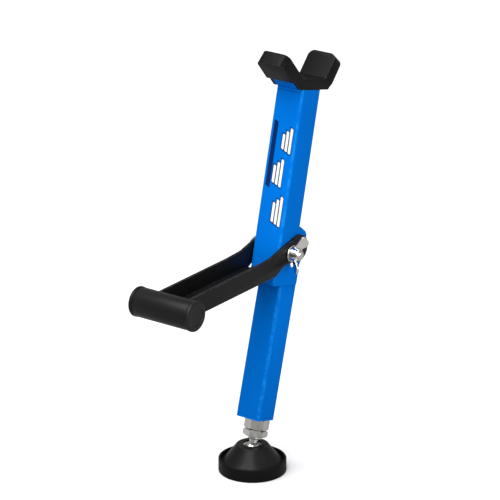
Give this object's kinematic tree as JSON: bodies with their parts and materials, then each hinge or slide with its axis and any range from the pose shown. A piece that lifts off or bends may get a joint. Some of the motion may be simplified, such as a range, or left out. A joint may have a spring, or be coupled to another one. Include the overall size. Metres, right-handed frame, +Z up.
{
  "type": "wheel lift stand",
  "caption": "Folding single-leg repair stand with a padded cradle on top, a foot lever beside a locking knee, and a round ball-jointed foot on an adjusting screw.",
  "frame": {"origin": "centre of the round foot's sole, on the floor", "axes": "+Z up; -X towards the foot lever; -Y towards the wing nut; the leg leans towards +X"},
  "size_m": [0.2458, 0.0626, 0.3751],
  "materials": {
    "blue_paint": "gloss powder coat, light orange peel",
    "black_paint": "satin black powder coat",
    "black_rubber": "moulded black rubber",
    "zinc_steel": "bright zinc-plated steel",
    "cap_plastic": "moulded black end caps",
    "seat_nylon": "natural nylon ball seat"
  },
  "bodies": {
    "foot": {"foot_housing": "black_paint", "foot_rubber": "black_rubber"},
    "seat_cup": {"ball_seat_cup": "seat_nylon"},
    "seat_ring": {"ball_seat_ring": "seat_nylon"},
    "stem": {"ball_stem": "zinc_steel"},
    "jam_nut": {"jam_nut": "zinc_steel"},
    "lower_leg": {"lower_tube": "blue_paint", "lower_end_plate": "blue_paint", "lower_top_plate": "blue_paint", "knee_tongue": "blue_paint", "coupling_nut": "zinc_steel"},
    "upper_leg": {"upper_tube": "blue_paint", "saddle_plate": "blue_paint", "saddle_weld_front": "blue_paint", "saddle_weld_back": "blue_paint", "saddle_boot": "black_rubber", "knee_pin": "zinc_steel", "knee_bush_near": "zinc_steel", "knee_bush_far": "zinc_steel", "lever_bolt": "zinc_steel", "lever_washer_near": "zinc_steel", "lever_washer_far": "zinc_steel", "stop_spacer": "zinc_steel"},
    "lever": {"lever_channel": "black_paint", "pedal_tube": "black_paint", "pedal_cap_near": "cap_plastic", "pedal_cap_far": "cap_plastic"},
    "wing_nut": {"wing_nut": "zinc_steel"}
  },
  "joints": [
    {"name": "foot_turn", "type": "hinge", "parent": "foot", "child": "seat_cup", "pos_m": [0, 0, 0.019], "axis": [0, 0, 1], "continuous": true},
    {"name": "foot_tip_side", "type": "hinge", "parent": "seat_cup", "child": "seat_ring", "pos_m": [0, 0, 0.019], "axis": [1, 0, 0], "range_deg": [-15, 15]},
    {"name": "foot_tip_fore", "type": "hinge", "parent": "seat_ring", "child": "stem", "pos_m": [0, 0, 0.019], "axis": [0, 1, 0], "range_deg": [-40, 9]},
    {"name": "foot_screw", "type": "slide", "parent": "stem", "child": "jam_nut", "axis": [0.2723, 0, 0.9622], "range_m": [0, 0.014]},
    {"name": "leg_spin", "type": "hinge", "parent": "jam_nut", "child": "lower_leg", "pos_m": [0, 0, 0.019], "axis": [0.2723, 0, 0.9622], "range_deg": [0, 2881]},
    {"name": "knee_fold", "type": "hinge", "parent": "lower_leg", "child": "upper_leg", "pos_m": [0.04593, 0, 0.19785], "axis": [0, 1, 0], "range_deg": [0, 120]},
    {"name": "lever_swing", "type": "hinge", "parent": "upper_leg", "child": "lever", "pos_m": [0.0339, 0, 0.19672], "axis": [0, 1, 0], "range_deg": [0, 82]},
    {"name": "wing_nut_turn", "type": "hinge", "parent": "upper_leg", "child": "wing_nut", "pos_m": [0.0339, 0, 0.19672], "axis": [0, 1, 0], "continuous": true}
  ],
  "couplings": [
    {"joint": "leg_spin", "follows": "foot_screw", "rad_per_m": 3590.4}
  ]
}
